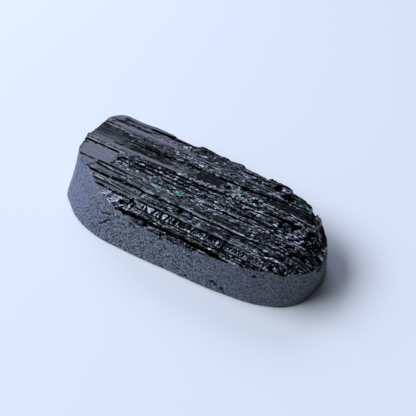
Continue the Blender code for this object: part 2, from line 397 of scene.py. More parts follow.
def edge_change(at):
    """Rise and drop of the face close to its back and left edges, and chips all along its rim."""
    x, y, away = at.x, at.y, at.away
    back = between_rows(BACK_EDGE, x)
    left = between_rows(LEFT_EDGE, y)
    close = mix(
        ease((1.15 - away) / 0.3), ease(1.3 - away / EDGE_REACH),
        ease((x - 2) / 2) * ease(17 - x),
    )
    close = np.where(back > 0, ease(1.3 - away / RISE_REACH), close)
    change = back * close * ease(y - np.where(x < 0, 6.6, 0.6))
    change = change + left * ease(1.3 - away / LEFT_REACH) * ease(-18 - x) * ease((3.4 - y) / 1.5)
    _, _, own, gap = cells(x / 0.7, y / 0.5, 131)
    chip = (again(own, 2) - 0.35) * ease(gap / 0.3) * ease(1.2 - away / 0.55)
    chipped = np.where(y < 0, 0.55 * ease((x + 9) / 6), mix(0.05, 0.4, ease((x + 4) / 4)))
    worn = EDGE_WORN * ease(1 - away / 0.35) * np.where(y < 0, ease((x + 8) / 4), 1)
    return change - CHIP_DEPTH * np.maximum(chip, 0) * chipped - worn


def along(x, start, end, y_start, y_end):
    """Height of a straight line in plan at x."""
    return y_start + (y_end - y_start) * np.clip((x - start) / (end - start), 0, 1)


def broad_shape(x, y):
    """The natural face without its detail."""
    z = between_rows(PROFILE, swung(x, y))
    hollow = 0.35 * ease(1.9 - 2 * np.hypot((x + 2.2) / 12, (y - 0.3) / 2.2))
    end = 0.75 * ease((x - 15.2) / 7) * (1 + 0.6 * wavy(x / 2.2, y / 2.2, 7))
    end = end + 1.1 * ease((x - 18.8 - 0.15 * np.abs(y)) / 3.4)
    left = 0.12 * ease((-18.5 - x) / 4)
    return z - hollow - end - left


def spot(x, y, place, ragged):
    """1 inside an oval place with a ragged border, 0 outside it."""
    cx, cy, rx, ry = place
    return ease(1.6 - 1.4 * np.hypot((x - cx) / rx, (y - cy) / ry) + ragged)


def rough_places(x, y):
    """How broken and how whitish the face is, whitish grain and painted glints together, from its patches,
    and its stains.
    """
    rough = 0.08 + 0.3 * ease((x + 15) / 18) + 0.1 * ease((x - 10) / 8)
    white_and_glint = np.zeros(x.shape)
    ragged = 0.5 * wavy(x / 0.9, y / 0.4, 31) + 0.3 * wavy(x / 0.4, y / 0.2, 32)
    for row in PATCHES:
        inside = spot(x, y, row[:4], ragged)
        rough = np.maximum(rough, row[4] * inside)
        white_and_glint = np.maximum(white_and_glint, row[5] * inside)
    stains = {"teal": np.zeros(x.shape), "amber": np.zeros(x.shape)}
    for row in TINTS:
        stains[row[5]] = np.maximum(stains[row[5]], row[4] * spot(x, y, row[:4], 0.5 * ragged))
    return rough, white_and_glint, stains


def dark_strips(x, y):
    """How strong the painted shade of the darker strips is at each place."""
    mottled = 0.85 + 0.35 * wavy(x / 1.6, y / 0.22, 34)
    ragged_ends = 1.2 * wavy(x / 2.5, y / 0.4, 33)
    painted_shade = np.zeros(x.shape)
    for x0, x1, front, back, amount in DARK_STRIPS:
        inside = span(y, front, back, 0.3) * span(x + ragged_ends, x0, x1, 2.5)
        painted_shade = np.maximum(painted_shade, amount * inside * mottled)
    return painted_shade


def fine_detail(at, rough, broken, rise, values):
    """Ribs, splinters and broken grain: their height, the fine lines, the painted shade of the gaps and
    the painted highlights of the lit edges.
    """
    some = ease(rough / 0.35)
    _, dy, own, _, long_edge, _ = bricks(at.run, at.lane, RIB_LENGTH, values.rib_pitch / MM, 11)
    ribs = (own - 0.5) * (0.05 + 0.1 * rough) + (rise + 0.2 * (again(own, 2) - 0.5)) * dy
    rib_gap = ease(1.1 - long_edge / 0.13) * ease(2 * again(own, 3) - 0.3) * (0.25 + 0.75 * some)
    lit_edge = ease(1 - np.abs(long_edge - 0.2) / 0.08) * (again(own, 9) > 0.5) * 0.5 * some
    slivers, sliver_gap = splinters(at.run, at.lane, *SLIVERS)
    dashes, dash_gap = splinters(at.run, at.lane, *DASHES)
    grain = values.grain_size / MM
    crumbs, crumb_gap = grains(at.run, at.lane, CRUMB_LENGTH * grain, grain, *CRUMBS)
    blocks, block_gap = grains(at.run, at.lane, *BLOCKS)
    lines = 0.014 * wavy(at.x / 9, at.lane / 0.2, 51)
    detail = ribs + slivers * (0.25 + 0.75 * some) + dashes * rough + lines
    detail = detail + (crumbs + blocks) * broken
    gaps = np.maximum(rib_gap, sliver_gap * ease((rough - 0.05) / 0.3))
    gaps = np.maximum(gaps, dash_gap * ease((rough - 0.35) / 0.3))
    gaps = np.maximum(gaps, np.maximum(0.8 * crumb_gap, block_gap) * broken)
    return detail - GAP_DEPTH * gaps, lines, gaps, lit_edge


def bright_grain(at, rough, white_and_glint, stains, lit_edge):
    """How bright the whitish and the stained grain is at each place; the whitish specks also serve as
    painted glints.
    """
    _, _, speck, speck_gap = cells(at.run / 0.5, at.lane / 0.16, 141)
    inner = ease(speck_gap / 0.2)
    bright = inner * (speck < 0.04 + 0.12 * rough + 0.36 * white_and_glint) * (0.45 + 0.55 * again(speck, 6))
    bright = np.maximum(bright, lit_edge)
    _, _, lump, lump_gap = cells(at.x / 0.55, at.across / 0.4, 151)
    lumps = ease(lump_gap / 0.16) * (lump < 0.7) * (0.7 + 0.3 * again(lump, 2))
    bright = mix(bright, lumps, ease((white_and_glint - 0.9) / 0.4))
    front_rim = ease(1.3 - at.away / 0.5) * span(at.x, -4, 5, 2) * (at.y < 0)
    bright = bright * (1 - 0.85 * front_rim)
    stained = np.maximum(stains["teal"], 0.5 * stains["amber"])
    stained_grain = stained * inner * (again(speck, 9) < 0.55 + 0.45 * stained)
    return np.maximum(bright * ease(rough / 0.35), stained_grain)


def lay_facets(at, z, detail, lines):
    """Lay the smooth grown faces over the rough face, and say how smooth each place is now."""
    x, y = at.x, at.across
    smooth = np.zeros(x.shape)
    ragged = 0.6 * wavy(x / 0.7, y / 0.3, 71)
    for x0, x1, f0, b0, f1, b1, step, slope, curve, kept in FACETS:
        front = along(x, x0, x1, f0, f1)
        back = along(x, x0, x1, b0, b1)
        inside = span(y, front, back, 0.16) * span(x + ragged, x0, x1, 0.8)
        middle = 0.5 * (front + back)
        off = y - middle
        plane = broad_shape(x, middle) + step + slope * off + 0.5 * curve * off * off
        plane = plane + 0.008 * wavy(x / 4, y / 0.5, 72) + 0.2 * lines
        z = mix(z, plane + kept * detail, inside)
        smooth = np.maximum(smooth, inside * (1 - kept))
    return z, smooth


def add_edges_and_clefts(at, z, shade, cleft_width):
    """Raise the thin edges, and cut the clefts and fill them with painted shade."""
    x, y = at.x, at.across
    for x0, x1, y0, y1, width, height in EDGES:
        off = np.abs(y - along(x, x0, x1, y0, y1)) / width
        z = z + height * ease(1 - off) * span(x, x0, x1, 0.8)
    for x0, x1, y0, y1, width, depth in CLEFTS:
        worn = 0.95 + 0.2 * wavy(x / 1.3, np.full(x.shape, y0 * 3.1), 81)
        wander = 0.04 * wavy(x / 1.9, np.full(x.shape, y0 * 5.3), 82)
        off = np.abs(y + wander - along(x, x0, x1, y0, y1)) / (0.5 * width * cleft_width)
        open_part = ease((x - x0) / 0.5) * ease((x1 - x) / 1) * worn
        z = z - CLEFT_DEPTH * depth * np.clip(1.6 - 1.25 * off, 0, 1) * open_part
        # Painted shade reaches a little past each cleft's cut lip
        lip = np.clip(1 + 0.5 * (1.3 - off) * width * cleft_width / 0.08, 0, 1) * open_part
        shade = np.maximum(shade, ease(1.5 * lip) * min(depth / 0.12, 1))
    return z, shade


def cut_pits(at, z, shade):
    """Cut the broken pits and fill them with painted shade, and paint shade on the face towards its back
    rim.
    """
    x, y = at.x, at.across
    ragged = 0.5 * wavy(x / 0.4, y / 0.25, 91) + 0.3 * wavy(x / 0.2, y / 0.15, 92)
    for row in PITS:
        cut = spot(x, y, row[:4], ragged)
        z = z - row[4] * cut
        shade = np.maximum(shade, cut)
    # Painted shade on the dark humps along the back rim
    back_rim = ease(1.5 - at.away / 0.62 + 0.3 * wavy(x / 0.8, at.y / 0.4, 93))
    back_rim = back_rim * ease((at.y - 4) / 2) * ease((x + 5) / 2)
    return z, np.maximum(shade, 0.9 * back_rim)


def natural_face(x, y, rim, values):
    """Height of the natural face and the masks that its material reads."""
    at = Places(x, y, rim)
    rough, white_and_glint, stains = rough_places(x, at.across)
    broken = ease((rough - 0.5) / 0.4)
    calm = ease((-5 - x) / 4) * ease((-1.7 - y) / 0.5) * ease((y + 6.2) / 0.4)
    rough = rough * (1 - 0.8 * calm)
    painted_shade = dark_strips(x, at.across)
    rise = values.rib_rise + 0.04 * ease(-x / 4) + DARK_RISE * painted_shade
    detail, lines, shade, lit_edge = fine_detail(at, rough, broken, rise, values)
    bright = bright_grain(at, rough, white_and_glint, stains, lit_edge)
    shade = shade * (1 - bright) * (1 - 0.3 * ease(white_and_glint - 1))

    z, smooth = lay_facets(at, broad_shape(x, at.across) + detail, detail, lines)
    # The painted shade of the darker strips joins the shade mask
    shade = np.maximum(shade * (1 - smooth), painted_shade * (1 - bright))
    z = z + edge_change(at)
    z, shade = add_edges_and_clefts(at, z, shade, values.cleft_width)
    z, shade = cut_pits(at, z, shade)
    z, teeth, tooth_gap = ladder(x, at.across, z, values.tooth_pitch / MM)
    bright = np.maximum(bright * (1 - smooth), teeth)
    shade = np.maximum(shade * (1 - teeth), tooth_gap)
    shade = shade * (1 - 0.4 * ease((x - 12) / 3) * ease((-2.5 - y) / 1.5))
    masks = {"rough": np.clip(rough, 0, 1) * (1 - smooth), "white_and_glint": bright, "shade": shade}
    return np.minimum(z, TOP - TOP_GAP), {**masks, **stains}


# The row of cross cracks near the front rim: where it runs, and how much its teeth lean
LADDER_X = (-3.0, 16.5)
LADDER_Y = (-6.45, -5.6)
TOOTH_LEAN = 0.9


def ladder(x, y, z, coarse):
    """Short leaning teeth between two clefts, coarse on the left and finer towards the right, with
    whitened teeth and painted shade in the gaps between them.
    """
    front, back = LADDER_Y
    finer = ease((x - 2.5) / 2.5)
    pitch = mix(coarse, 0.55 * coarse, finer)
    lean = TOOTH_LEAN * wavy(x / 1.6, x * 0, 94)
    bend = 0.2 * wavy(x / 0.9, y / 0.35, 95)
    phase = (x - lean * (y - front) + bend) / pitch
    number = np.floor(phase)
    wide = 0.22 + 0.26 * hashed(number, number * 0, 96)
    gap = span(phase - number, 0.5 - 0.5 * wide, 0.5 + 0.5 * wide, 0.14)
    inside = span(y, front, back, 0.16) * span(x, *LADDER_X, 1)
    depth = mix(0.22, 0.1, finer)
    keep = 0.4 + 0.6 * hashed(number, number * 0 + 3, 97)
    keep = keep * (0.55 + 0.45 * ease(0.5 + wavy(x / 0.22, y / 0.2, 98)))
    tooth = (1 - gap) * inside
    z = z - depth * gap * inside + tooth * (0.04 + 0.4 * (y - 0.5 * (front + back)))
    return z, tooth * keep * (1 - 0.4 * finer), gap * inside * (1 - 0.4 * finer)


def face_grid():
    """The places, in plan, at which the natural face is worked out."""
    x = np.arange(LOW[0] - FACE_MARGIN, HIGH[0] + FACE_MARGIN, CELL_X)
    y = np.arange(LOW[1] - FACE_MARGIN, HIGH[1] + FACE_MARGIN, CELL_Y)
    return np.meshgrid(x, y)


def read_grid(grid, x, y):
    """Values of a grid over the face, read between its points."""
    rows, columns = grid.shape
    u = np.clip((x - LOW[0] + FACE_MARGIN) / CELL_X, 0, columns - 1.001)
    v = np.clip((y - LOW[1] + FACE_MARGIN) / CELL_Y, 0, rows - 1.001)
    i, j = u.astype(int), v.astype(int)
    front = mix(grid[j, i], grid[j, i + 1], u - i)
    back = mix(grid[j + 1, i], grid[j + 1, i + 1], u - i)
    return mix(front, back, v - j)


def steep_places(z):
    """1 where the face is steep, as at the broken side of a rib, and 0 where it is not."""
    across, lengthwise = np.gradient(z, CELL_Y, CELL_X)
    return ease((np.hypot(across, lengthwise) - STEEP_FROM) / STEEP_OVER)


def quads(index):
    """Four-sided faces between the rows and columns of a grid of point numbers."""
    corners = (index[:-1, :-1], index[:-1, 1:], index[1:, 1:], index[1:, :-1])
    return np.stack(corners, axis=-1).reshape(-1, 4).tolist()


def face_block(gx, gy, gz):
    """The crystal before grinding, as a closed block under a finely modelled natural face."""
    points = np.stack([gx, gy, gz], axis=-1).reshape(-1, 3)
    index = np.arange(len(points)).reshape(gx.shape)
    rim = np.concatenate([index[0, :-1], index[:-1, -1], index[-1, :0:-1], index[:0:-1, 0]])
    low = points[rim] * (1, 1, 0) - (0, 0, FACE_DEPTH)
    below = len(points) + np.arange(len(rim))
    skirt = np.stack([np.roll(rim, -1), rim, below, np.roll(below, -1)], axis=-1)
    faces = quads(index) + skirt.tolist() + [below[::-1].tolist()]
    return new_mesh("raw_crystal", np.concatenate([points, low]) * MM, faces)


# ---- the ground side

# The grid of the ground side: its spacing round the stone, its levels and its top
WALL_CELL = 0.21
WALL_LEVELS = 38
WALL_TOP = 9.0

# Where the CAD solid is measured: rays round it, how far out they start, two heights, and the
# usual height of the rim. The lean found is smoothed this many times.
OUTLINE_RAYS = 1440
RAY_START = 3.0
LOW_CUT = 0.6
HIGH_CUT = 3.4
RIM_HEIGHT = 6.8
LEAN_SMOOTHING = 12


def wall_lines():
    """The ground side's outline, the way out at each of its points, and its lean.

    They are measured on the CAD solid by rays from outside.
    """
    solid = BVHTree.FromObject(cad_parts[SOLID], bpy.context.evaluated_depsgraph_get())

    def side(start, way):
        hit = solid.ray_cast(start, way)[0]
        if hit is None:
            raise RuntimeError("a ray missed the ground side")
        return hit

    middle = Vector(((LOW[0] + HIGH[0]) / 2, (LOW[1] + HIGH[1]) / 2, LOW_CUT)) * MM
    rough = []
    for step in range(OUTLINE_RAYS):
        angle = 2 * math.pi * step / OUTLINE_RAYS
        out = Vector((math.cos(angle), math.sin(angle), 0))
        hit = side(middle + out * LENGTH * MM, -out)
        rough.append((hit.x / MM, hit.y / MM))
    ring = resample(np.array(rough), WALL_CELL)
    tangent = np.roll(ring, -1, axis=0) - np.roll(ring, 1, axis=0)
    out = np.stack([tangent[:, 1], -tangent[:, 0]], axis=-1)
    out /= np.linalg.norm(out, axis=1)[:, None]
    lean = []
    for point, away in zip(ring, out):
        hit = side(Vector((*(point + RAY_START * away), HIGH_CUT)) * MM, -Vector((*away, 0)))
        shift = (Vector(point) * MM - hit.xy).dot(Vector(away)) / MM
        lean.append(shift / (HIGH_CUT - LOW_CUT))
    lean = np.array(lean)
    for _ in range(LEAN_SMOOTHING):
        lean = 0.25 * np.roll(lean, 1) + 0.5 * lean + 0.25 * np.roll(lean, -1)
    return ring, out, lean


def face_rim(ring, out, lean):
    """Plan of the ground side's outline where it meets the natural face."""
    return ring - out * (lean * (RIM_HEIGHT - LOW_CUT))[:, None]


def resample(ring, spacing):
    """Even steps round a closed outline."""
    closed = np.vstack([ring, ring[:1]])
    run = np.concatenate([[0], np.cumsum(np.linalg.norm(np.diff(closed, axis=0), axis=1))])
    count = int(run[-1] / spacing)
    at = np.linspace(0, run[-1], count, endpoint=False)
    return np.stack([np.interp(at, run, closed[:, 0]), np.interp(at, run, closed[:, 1])], axis=-1)


# The broken right end reaches down the ground side to the right of this x, behind this y and above
# this height
TORN_FROM = (18.0, -2.4, 4.1)

# Pits in the ground side: x, y and height of the middle, reach along and up, depth
WALL_PITS = (
    (10.07, -8.49, 1.82, 0.5, 0.35, 0.4), (10.6, -8.4, 1.5, 0.3, 0.25, 0.3),
    (11.54, -8.31, 1.18, 0.35, 0.3, 0.3), (4.98, -8.85, 3.28, 0.2, 0.2, 0.25),
    (4.87, -8.95, 1.6, 0.4, 0.16, 0.2), (6.02, -8.93, 0.74, 0.45, 0.25, 0.25),
    (19.2, -5.63, 4.25, 0.4, 0.13, 0.18), (19.8, -5.2, 3.35, 0.35, 0.13, 0.16),
    (14.8, -7.56, 3.2, 0.14, 0.14, 0.12), (-7.35, -8.29, 4.92, 0.2, 0.14, 0.12),
    (2.1, -8.8, 5.9, 0.4, 0.2, 0.2), (15.5, -7.2, 5.4, 0.5, 0.2, 0.22),
)

# Cracks in the ground side: x, y and height of both ends, width, depth
WALL_CRACKS = (
    (-9.63, -8.89, 2.2, -7.45, -8.55, 4.04, 0.12, 0.12),
    (-9.28, -8.13, 4.19, -7.35, -8.29, 4.92, 0.12, 0.1),
    (-5.91, -8.36, 5.23, -5.08, -8.37, 5.71, 0.1, 0.1),
    (-3.39, -8.65, 5.76, -2.2, -8.75, 5.59, 0.14, 0.16),
    (2.78, -8.75, 6.5, 5.91, -8.64, 6.34, 0.13, 0.16), (5.91, -8.64, 6.34, 6.93, -8.57, 6.23, 0.12, 0.14),
    (-7.5, -8.5, 4, -6.6, -8.6, 3.4, 0.1, 0.08), (-11, -8.3, 3.9, -9.6, -8.5, 3.2, 0.1, 0.08),
)


def wall_relief(run, z, plan):
    """Depth of the ground side's bumps, dents, pits and cracks, and the strength of its painted shade, in
    these and along the foot, and of its dark torn end.
    """
    x, y = plan[..., 0], plan[..., 1]
    relief = 0.022 * wavy(run / 0.55, z / 0.45, 111) + 0.02 * wavy(run / 0.3, z / 0.3, 112)
    relief = relief + 0.03 * wavy(run / 3, z / 2, 113)
    dx, dy, own, _ = cells(run / 0.8, z / 0.65, 115)
    dent = (own > 0.7) * ease(1 - np.hypot(dx, dy) / (0.14 + 0.16 * again(own, 3)))
    # Painted shade in the dents, and a painted contact shadow along the foot
    shade_and_torn = np.maximum(0.7 * dent, 0.8 * ease(1 - z / 0.3))
    relief = relief + 0.08 * dent
    ragged = 0.3 * wavy(run / 0.3, z / 0.25, 117)
    torn_x, torn_y, torn_z = TORN_FROM
    torn = ease((z - torn_z + 1.2 * ragged) / 0.3) * ease((x - torn_x) / 0.8) * ease((y - torn_y) / 1.5)
    relief = relief + 0.2 * torn * (0.5 + ragged)
    shade_and_torn = np.maximum(shade_and_torn, torn)
    cuts = []
    for px, py, height, reach, up, depth in WALL_PITS:
        off = np.hypot(np.hypot(x - px, y - py) / reach, (z - height) / up)
        cuts.append((depth, ease(1.4 - 1.2 * off + ragged)))
    place = np.stack([x, y, z], axis=-1)
    for row in WALL_CRACKS:
        start, end, width, depth = np.array(row[:3]), np.array(row[3:6]), row[6], row[7]
        way = end - start
        part = np.clip(((place - start) @ way) / (way @ way), 0, 1)
        off = np.linalg.norm(place - start - part[..., None] * way, axis=-1)
        cuts.append((depth, ease(1.3 - off / width + ragged)))
    for depth, cut in cuts:
        relief = relief + depth * cut
        shade_and_torn = np.maximum(shade_and_torn, cut)
    return relief, shade_and_torn


def ground_block(ring, out, lean, bevel):
    """The slab that grinding leaves, taller than the crystal, with the strength of its painted shade and
    of its dark torn end stored on it.
    """
    count = len(ring)
    levels = np.concatenate([[0, 0.45 * bevel, bevel], np.linspace(2 * bevel, WALL_TOP, WALL_LEVELS)])
    grid_run, grid_z = np.meshgrid(np.arange(count) * WALL_CELL, levels)
    plan = ring + (-lean[None] * (grid_z - LOW_CUT))[..., None] * out[None]
    relief, shade_and_torn = wall_relief(grid_run, grid_z, plan)
    below = np.clip(bevel - grid_z, 0, bevel)
    plan = plan + (-below * below / bevel - relief * ease(grid_z / 0.3))[..., None] * out[None]
    points = np.concatenate([plan, grid_z[..., None]], axis=-1).reshape(-1, 3)
    index = np.arange(len(points)).reshape(grid_z.shape)
    faces = quads(np.pad(index, ((0, 0), (0, 1)), mode="wrap"))
    faces += [index[0, ::-1].tolist(), index[-1].tolist()]
    block = new_mesh("ground_blank", points * MM, faces)
    put_values(block.data, "shade_and_torn", shade_and_torn.ravel())
    put_values(block.data, "ground_side", np.ones(len(block.data.polygons)), "FACE")
    return block


# ---- meshes

def new_mesh(name, points, faces):
    """Add an object with a mesh of its own."""
    mesh = bpy.data.meshes.new(name)
    mesh.from_pydata(points.tolist(), [], faces)
    mesh.update()
    return add_object(name, mesh)


def add_object(name, data):
    """Add an object with the given mesh, lamp or camera to the scene."""
    item = bpy.data.objects.new(name, data)
    bpy.context.scene.collection.objects.link(item)
    return item


def vertex_array(mesh):
    """A mesh's points, in millimetres."""
    flat = np.empty(len(mesh.vertices) * 3)
    mesh.vertices.foreach_get("co", flat)
    return flat.reshape(-1, 3) / MM


def put_values(mesh, name, values, domain="POINT"):
    """Store one number for each point or face of a mesh, for its materials to read."""
    layer = mesh.attributes.new(name, "FLOAT", domain)
    layer.data.foreach_set("value", values.astype(np.float32))


def ground_to_shape(crystal, blank):
    """Cut the raw crystal with the ground blank, and give the mesh that is left."""
    cut = crystal.modifiers.new("ground_to_shape", "BOOLEAN")
    cut.operation = "INTERSECT"
    cut.solver = "MANIFOLD"
    cut.object = blank
    bpy.context.view_layer.update()
    done = bpy.data.meshes.new_from_object(crystal.evaluated_get(bpy.context.evaluated_depsgraph_get()))
    if len(done.polygons) < FEWEST_FACES:
        raise RuntimeError("the crystal was lost when it was ground to shape")
    for item in (crystal, blank):
        bpy.data.meshes.remove(item.data, do_unlink=True)
    return done


def build_crystal(values):
    """Build the natural face, grind the stone to its outline and give it its two materials."""
    ring, out, lean = wall_lines()
    gx, gy = face_grid()
    height, masks = natural_face(gx, gy, face_rim(ring, out, lean), values)
    # Painted shade on steep places, which hides the glints and floor reflections they would catch
    steep = steep_places(height) * (1.0 - 0.45 * ease((gx - 14.0) / 3.0))
    masks["shade"] = np.maximum(masks["shade"], steep * (1.0 - masks["white_and_glint"]))
    blank = ground_block(ring, out, lean, values.foot_bevel / MM)
    done = ground_to_shape(face_block(gx, gy, height), blank)
    done.name = "crystal_stone"
    stone = add_object("crystal_stone", done)
    points = vertex_array(done)
    for name, mask in masks.items():
        put_values(done, name, read_grid(mask, points[:, 0], points[:, 1]))
    done.materials.clear()
    done.materials.append(natural_material(values))
    done.materials.append(ground_material(values))
    ground = np.empty(len(done.polygons), dtype=np.float32)
    done.attributes["ground_side"].data.foreach_get("value", ground)
    done.polygons.foreach_set("material_index", (ground > 0.5).astype(np.int32))
    done.shade_smooth()
    done.set_sharp_from_angle(angle=SHARP_ANGLE)
    done.update()
    return stone


# ---- materials

SPECKLE = "stone_speckle"
BLACK = (0.0, 0.0, 0.0)

# Painted shade: places under a shade mask are black and this metallic, so that they reflect almost nothing
DARKEST = 0.95
CRYSTAL_IOR = 1.63
GROUND_IOR = 1.5

# Dark worms, light worms, worn places and painted light at the left end, painted shade on the right part,
# and pale specks, as shares of the ground colour
GROUND_SHADES = (
    (0.05, 0.05, 0.05), (2.6, 2.55, 2.3), (1.55, 1.75, 2.1), (0.52, 0.55, 0.6), (3.6, 3.6, 3.6),
)


def fill(tree, node, inputs):
    """Feed a node's inputs, each from a socket or with a plain value."""
    for place, value in inputs.items():
        if isinstance(value, bpy.types.NodeSocket):
            tree.links.new(value, node.inputs[place])
        else:
            node.inputs[place].default_value = value


def add_node(tree, kind, inputs=None, **settings):
    """Add a node with its settings and its inputs."""
    node = tree.nodes.new(kind)
    for name, value in settings.items():
        setattr(node, name, value)
    fill(tree, node, inputs or {})
    return node


def new_material(name, colour):
    """A material with one Principled shader: gives it, its node tree and the shader."""
    material = bpy.data.materials.new(name)
    material.use_nodes = True
    material.diffuse_color = (*colour, 1.0)
    tree = material.node_tree
    tree.nodes.clear()
    shader = tree.nodes.new("ShaderNodeBsdfPrincipled")
    add_node(tree, "ShaderNodeOutputMaterial", {"Surface": shader.outputs["BSDF"]})
    return material, tree, shader


def mask_nodes(tree, *names):
    """Values stored on the mesh, one socket for each name."""
    return [add_node(tree, "ShaderNodeAttribute", attribute_name=name).outputs["Fac"] for name in names]


def maths(tree, operation, a, b, clamp=False):
    """One sum of two values, each a socket or a number."""
    return add_node(tree, "ShaderNodeMath", {0: a, 1: b}, operation=operation, use_clamp=clamp).outputs[0]


def times(tree, a, b, clamp=False):
    return maths(tree, "MULTIPLY", a, b, clamp)


def most(tree, a, b):
    return maths(tree, "MAXIMUM", a, b)


def rest_of(tree, mask):
    """What a mask leaves of 1."""
    return maths(tree, "SUBTRACT", 1.0, mask, clamp=True)


def blend(tree, factor, first, second):
    """Mix two colours, each a socket or a plain colour."""
    first, second = ((*value, 1.0) if isinstance(value, tuple) else value for value in (first, second))
    inputs = {0: factor, 6: first, 7: second}
    return add_node(tree, "ShaderNodeMix", inputs, data_type="RGBA").outputs[2]


def remap(tree, value, low, high, to_low=0.0, to_high=1.0):
    """Straight change of a value from one range to another, held at both ends."""
    inputs = {"Value": value, "From Min": low, "From Max": high, "To Min": to_low, "To Max": to_high}
    return add_node(tree, "ShaderNodeMapRange", inputs).outputs["Result"]


def stretched(tree, *scale):
    """Object coordinates in millimetres, stretched along each axis."""
    at = add_node(tree, "ShaderNodeTexCoord").outputs["Object"]
    inputs = {"Vector": at, "Scale": tuple(value / MM for value in scale)}
    return add_node(tree, "ShaderNodeMapping", inputs).outputs["Vector"]


def noise(tree, vector, scale, detail, roughness):
    inputs = {"Vector": vector, "Scale": scale, "Detail": detail, "Roughness": roughness}
    return add_node(tree, "ShaderNodeTexNoise", inputs).outputs["Fac"]


def speckle_group():
    """Shared pattern of worn stone: fine worm-like speckle, scattered specks, and their height."""
    if SPECKLE in bpy.data.node_groups:
        return bpy.data.node_groups[SPECKLE]
    tree = bpy.data.node_groups.new(SPECKLE, "ShaderNodeTree")
    tree.interface.new_socket("Vector", in_out="INPUT", socket_type="NodeSocketVector")
    tree.interface.new_socket("Scale", in_out="INPUT", socket_type="NodeSocketFloat").default_value = 1.0
    for output in ("Worms", "Specks", "Height"):
        tree.interface.new_socket(output, in_out="OUTPUT", socket_type="NodeSocketFloat")
    given = tree.nodes.new("NodeGroupInput").outputs
    at, scale = given["Vector"], given["Scale"]
    worms = remap(tree, noise(tree, at, times(tree, scale, 4.2), 2.0, 0.6), 0.455, 0.545)
    specks = remap(tree, noise(tree, at, times(tree, scale, 6.5), 1.0, 0.5), 0.6, 0.68)
    height = maths(tree, "ADD", worms, times(tree, specks, 0.5))
    add_node(tree, "NodeGroupOutput", {"Worms": worms, "Specks": specks, "Height": height})
    return tree


def speckle(tree, vector, scale):
    """The shared speckle pattern in a material: gives the group's outputs."""
    inputs = {"Vector": vector, "Scale": scale}
    return add_node(tree, "ShaderNodeGroup", inputs, node_tree=speckle_group()).outputs


def bump(tree, height, strength, distance):
    """Fine relief of a surface, from a height and its size in millimetres."""
    inputs = {"Height": height, "Strength": strength, "Distance": distance * MM}
    return add_node(tree, "ShaderNodeBump", inputs).outputs["Normal"]


def natural_material(values):
    """Glossy black crystal with fine lengthwise lines, whitish broken grain that also serves as painted
    glints, and painted shade that is black and metallic.
    """
    dark, brown = tuple(values.crystal_colour), tuple(values.amber_colour)
    material, tree, shader = new_material("black_tourmaline_natural", dark)
    rough, shade, white_and_glint, teal, amber = mask_nodes(tree, "rough", "shade", "white_and_glint", "teal", "amber")
    grain = speckle(tree, stretched(tree, 0.6, 1.0, 1.0), 0.9)
    worms = grain["Worms"]
    lines = noise(tree, stretched(tree, 0.12, 1.0, 1.0), 5.0, 2.0, 0.6)
    strands = noise(tree, stretched(tree, 0.22, 1.0, 1.0), 3.4, 3.0, 0.6)
    fibrous = remap(tree, rough, 0.05, 0.35, 0.15)
    # Painted shade in fine dark lines along the ribs and between crushed grains
    shade_lines = times(tree, remap(tree, strands, 0.46, 0.4, 0.0, 0.95), fibrous)
    # Painted highlights: fine light lines along the ribs
    highlight_lines = times(tree, remap(tree, strands, 0.57, 0.64, 0.0, 0.6), fibrous)
    crushed_shade = times(tree, remap(tree, rough, 0.5, 0.85), remap(tree, worms, 0.4, 0.0, 0.0, 0.9))
    crushed_shade = times(tree, crushed_shade, rest_of(tree, most(tree, white_and_glint, teal)))
    shade = most(tree, most(tree, shade, shade_lines), crushed_shade)
    # Whitish grain, which also serves as painted glints, in a pale colour
    frost_and_glint = times(tree, white_and_glint, remap(tree, worms, 0.0, 1.0, 0.75), clamp=True)
    frost_and_glint = most(tree, frost_and_glint, times(tree, highlight_lines, worms))
    frost_and_glint = most(tree, frost_and_glint, times(tree, white_and_glint, teal))
    frost_and_glint = times(tree, frost_and_glint, rest_of(tree, shade))
    pale = blend(tree, teal, tuple(values.frost_and_glint_colour), tuple(values.teal_colour))
    colour = blend(tree, frost_and_glint, dark, blend(tree, amber, pale, brown))
    brownish = times(tree, amber, remap(tree, lines, 0.4, 0.6, 0.0, 0.45))
    colour = blend(tree, brownish, colour, brown)
    gloss = maths(tree, "ADD", remap(tree, lines, 0.35, 0.7, 0.1, 0.2), times(tree, rough, 0.06))
    height = maths(tree, "ADD", lines, times(tree, grain["Height"], rough))
    fill(tree, shader, {
        "IOR": CRYSTAL_IOR,
        # Painted shade: under the shade mask the colour turns black and the surface metallic
        "Base Color": blend(tree, shade, colour, BLACK),
        "Metallic": times(tree, shade, DARKEST, clamp=True),
        "Roughness": maths(tree, "ADD", gloss, times(tree, frost_and_glint, 0.4)),
        "Normal": bump(tree, height, 0.5, 0.035),
    })
    return material


